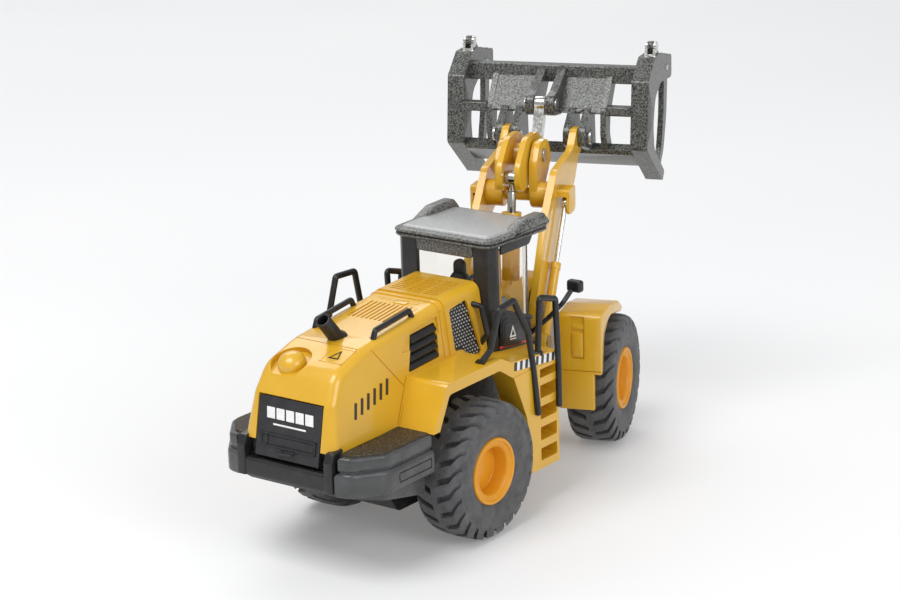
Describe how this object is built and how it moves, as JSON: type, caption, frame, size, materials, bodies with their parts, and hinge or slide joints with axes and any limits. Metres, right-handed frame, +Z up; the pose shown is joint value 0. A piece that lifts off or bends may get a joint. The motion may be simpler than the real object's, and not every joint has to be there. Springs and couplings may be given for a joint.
{
  "type": "toy front loader",
  "caption": "Articulated toy wheel loader with a log grapple: steering hitch, rolling wheels, lift arms, bell crank tilt linkage and opening claws.",
  "frame": {"origin": "on the ground directly under the articulation pin", "axes": "+X forward along the rear frame, +Y to the left, +Z up; the front frame rests steered 18.7 degrees to the left"},
  "size_m": [0.216, 0.1018, 0.1268],
  "materials": {
    "body_yellow": "gloss paint",
    "plastic_yellow": "gloss",
    "weight_grey": "satin",
    "tread_brown": "satin chequer plate",
    "black_plastic": "satin",
    "grille_black": "louvred",
    "clear": "clear moulding",
    "roof_grey": "hammered",
    "seat_black": "matte",
    "blue_grey": "satin",
    "tyre_rubber": "moulded lugs",
    "steel_pin": "brushed",
    "plated": "polished",
    "grapple_grey": "hammered"
  },
  "bodies": {
    "rear_frame": {"rear_chassis": "black_plastic", "articulation_pin": "steel_pin", "chassis_screws": "steel_pin", "counterweight": "weight_grey", "tread_plates": "tread_brown", "rear_bumper": "black_plastic", "hood": "body_yellow", "side_grilles": "grille_black", "rear_grille_panel": "black_plastic", "hood_rails": "black_plastic", "exhaust_pipe": "black_plastic", "hood_dome": "plastic_yellow", "cab_tub": "black_plastic", "cab_glass": "clear", "cab_rear_frame": "black_plastic", "cab_roof": "roof_grey", "operator_seat": "seat_black", "cab_consoles": "blue_grey", "steering_wheel": "blue_grey", "cab_mirror": "black_plastic", "rear_fender_left": "body_yellow", "rear_fender_right": "body_yellow", "ladder_left": "plastic_yellow", "ladder_right": "plastic_yellow", "ladder_rails_left": "black_plastic", "ladder_rails_right": "black_plastic", "guard_rail_left": "black_plastic"},
    "rear_wheels": {"rear_axle": "steel_pin", "rear_rims": "plastic_yellow", "rear_tyre_left": "tyre_rubber", "rear_tyre_right": "tyre_rubber"},
    "front_frame": {"front_chassis": "body_yellow", "front_frame_pins": "steel_pin", "front_fender_left": "body_yellow", "front_fender_right": "body_yellow"},
    "front_wheels": {"front_axle": "steel_pin", "front_rims": "plastic_yellow", "front_tyre_left": "tyre_rubber", "front_tyre_right": "tyre_rubber"},
    "lift_arms": {"lift_arm_left": "body_yellow", "lift_arm_right": "body_yellow", "arm_cross_tube": "body_yellow", "crank_pin": "steel_pin"},
    "lift_barrel_left": {"lift_barrel_left": "body_yellow"},
    "lift_barrel_right": {"lift_barrel_right": "body_yellow"},
    "lift_rod_left": {"lift_rod_left": "plated"},
    "lift_rod_right": {"lift_rod_right": "plated"},
    "bell_crank": {"bell_crank": "body_yellow"},
    "tilt_barrel": {"tilt_barrel": "body_yellow"},
    "tilt_rod": {"tilt_rod": "plated"},
    "tilt_clevis": {"tilt_clevis": "plated"},
    "grapple": {"grapple_frame": "grapple_grey", "grapple_end_left": "grapple_grey", "grapple_end_right": "grapple_grey", "grapple_pins": "steel_pin"},
    "tilt_link": {"tilt_link": "plated"},
    "claw_left": {"claw_left": "grapple_grey"},
    "claw_right": {"claw_right": "grapple_grey"},
    "clamp_rod_left": {"clamp_rod_left": "plated"},
    "clamp_rod_right": {"clamp_rod_right": "plated"}
  },
  "joints": [
    {"name": "rear_axle_spin", "type": "hinge", "parent": "rear_frame", "child": "rear_wheels", "pos_m": [-0.04425, 0, 0.0215], "axis": [0, 1, 0], "continuous": true},
    {"name": "articulation", "type": "hinge", "parent": "rear_frame", "child": "front_frame", "pos_m": [0, 0, 0.0265], "axis": [0, 0, 1], "range_deg": [-46.7, 9.3]},
    {"name": "front_axle_spin", "type": "hinge", "parent": "front_frame", "child": "front_wheels", "pos_m": [0.04191, 0.01419, 0.0215], "axis": [-0.3206, 0.9472, 0], "continuous": true},
    {"name": "arm_lift", "type": "hinge", "parent": "front_frame", "child": "lift_arms", "pos_m": [0.01516, 0.00513, 0.0525], "axis": [0.3206, -0.9472, 0], "range_deg": [-60, 0]},
    {"name": "lift_barrel_left_swing", "type": "hinge", "parent": "front_frame", "child": "lift_barrel_left", "pos_m": [0.00659, 0.01796, 0.0425], "axis": [0.3206, -0.9472, 0], "range_deg": [-50.3, 1]},
    {"name": "lift_rod_left_stroke", "type": "slide", "parent": "lift_barrel_left", "child": "lift_rod_left", "axis": [0.5589, 0.1892, 0.8074], "range_m": [-0.00701, 0.0002]},
    {"name": "lift_barrel_right_swing", "type": "hinge", "parent": "front_frame", "child": "lift_barrel_right", "pos_m": [0.01614, -0.01027, 0.0425], "axis": [0.3206, -0.9472, 0], "range_deg": [-50.3, 1]},
    {"name": "lift_rod_right_stroke", "type": "slide", "parent": "lift_barrel_right", "child": "lift_rod_right", "axis": [0.5589, 0.1892, 0.8074], "range_m": [-0.00701, 0.0002]},
    {"name": "tilt_barrel_swing", "type": "hinge", "parent": "front_frame", "child": "tilt_barrel", "pos_m": [0.02463, 0.00834, 0.056], "axis": [0.3206, -0.9472, 0], "range_deg": [-77.08, 1]},
    {"name": "tilt_rod_stroke", "type": "slide", "parent": "tilt_barrel", "child": "tilt_rod", "axis": [0.0943, 0.0319, 0.995], "range_m": [-0.00505, 0.0002]},
    {"name": "tilt_clevis_stroke", "type": "slide", "parent": "tilt_rod", "child": "tilt_clevis", "axis": [0.0943, 0.0319, 0.995], "range_m": [-0.00215, 0.00313]},
    {"name": "grapple_tilt", "type": "hinge", "parent": "lift_arms", "child": "grapple", "pos_m": [0.06318, 0.02139, 0.0979], "axis": [0.3206, -0.9472, 0], "range_deg": [-20, 30]},
    {"name": "bell_crank_turn", "type": "hinge", "parent": "lift_arms", "child": "bell_crank", "pos_m": [0.04007, 0.01356, 0.0969], "axis": [0.3206, -0.9472, 0], "range_deg": [-14.51, 10.01]},
    {"name": "tilt_link_turn", "type": "hinge", "parent": "grapple", "child": "tilt_link", "pos_m": [0.06185, 0.02094, 0.109], "axis": [0.3206, -0.9472, 0], "range_deg": [-15.9, 10.94]},
    {"name": "claw_left_open", "type": "hinge", "parent": "grapple", "child": "claw_left", "pos_m": [0.08343, 0.06229, 0.116], "axis": [0.3206, -0.9472, 0], "range_deg": [0, 60]},
    {"name": "clamp_rod_left_swing", "type": "hinge", "parent": "claw_left", "child": "clamp_rod_left", "pos_m": [0.07444, 0.05924, 0.125], "axis": [0.3206, -0.9472, 0], "range_deg": [-74.63, 1]},
    {"name": "claw_right_open", "type": "hinge", "parent": "grapple", "child": "claw_right", "pos_m": [0.10411, 0.00119, 0.116], "axis": [0.3206, -0.9472, 0], "range_deg": [0, 60]},
    {"name": "clamp_rod_right_swing", "type": "hinge", "parent": "claw_right", "child": "clamp_rod_right", "pos_m": [0.09512, -0.00185, 0.125], "axis": [0.3206, -0.9472, 0], "range_deg": [-74.63, 1]}
  ],
  "couplings": [
    {"joint": "lift_barrel_left_swing", "follows": "arm_lift", "ratio": 0.82175},
    {"joint": "lift_rod_left_stroke", "follows": "arm_lift", "m_per_rad": 0.006502},
    {"joint": "lift_barrel_right_swing", "follows": "arm_lift", "ratio": 0.82175},
    {"joint": "lift_rod_right_stroke", "follows": "arm_lift", "m_per_rad": 0.006502},
    {"joint": "tilt_barrel_swing", "follows": "arm_lift", "ratio": 1.268},
    {"joint": "tilt_rod_stroke", "follows": "arm_lift", "m_per_rad": 0.004632},
    {"joint": "bell_crank_turn", "follows": "grapple_tilt", "ratio": -0.45029},
    {"joint": "tilt_link_turn", "follows": "grapple_tilt", "ratio": -0.49675},
    {"joint": "tilt_clevis_stroke", "follows": "grapple_tilt", "m_per_rad": 0.005596},
    {"joint": "clamp_rod_left_swing", "follows": "claw_left_open", "ratio": -1.2271},
    {"joint": "clamp_rod_right_swing", "follows": "claw_right_open", "ratio": -1.2271}
  ]
}
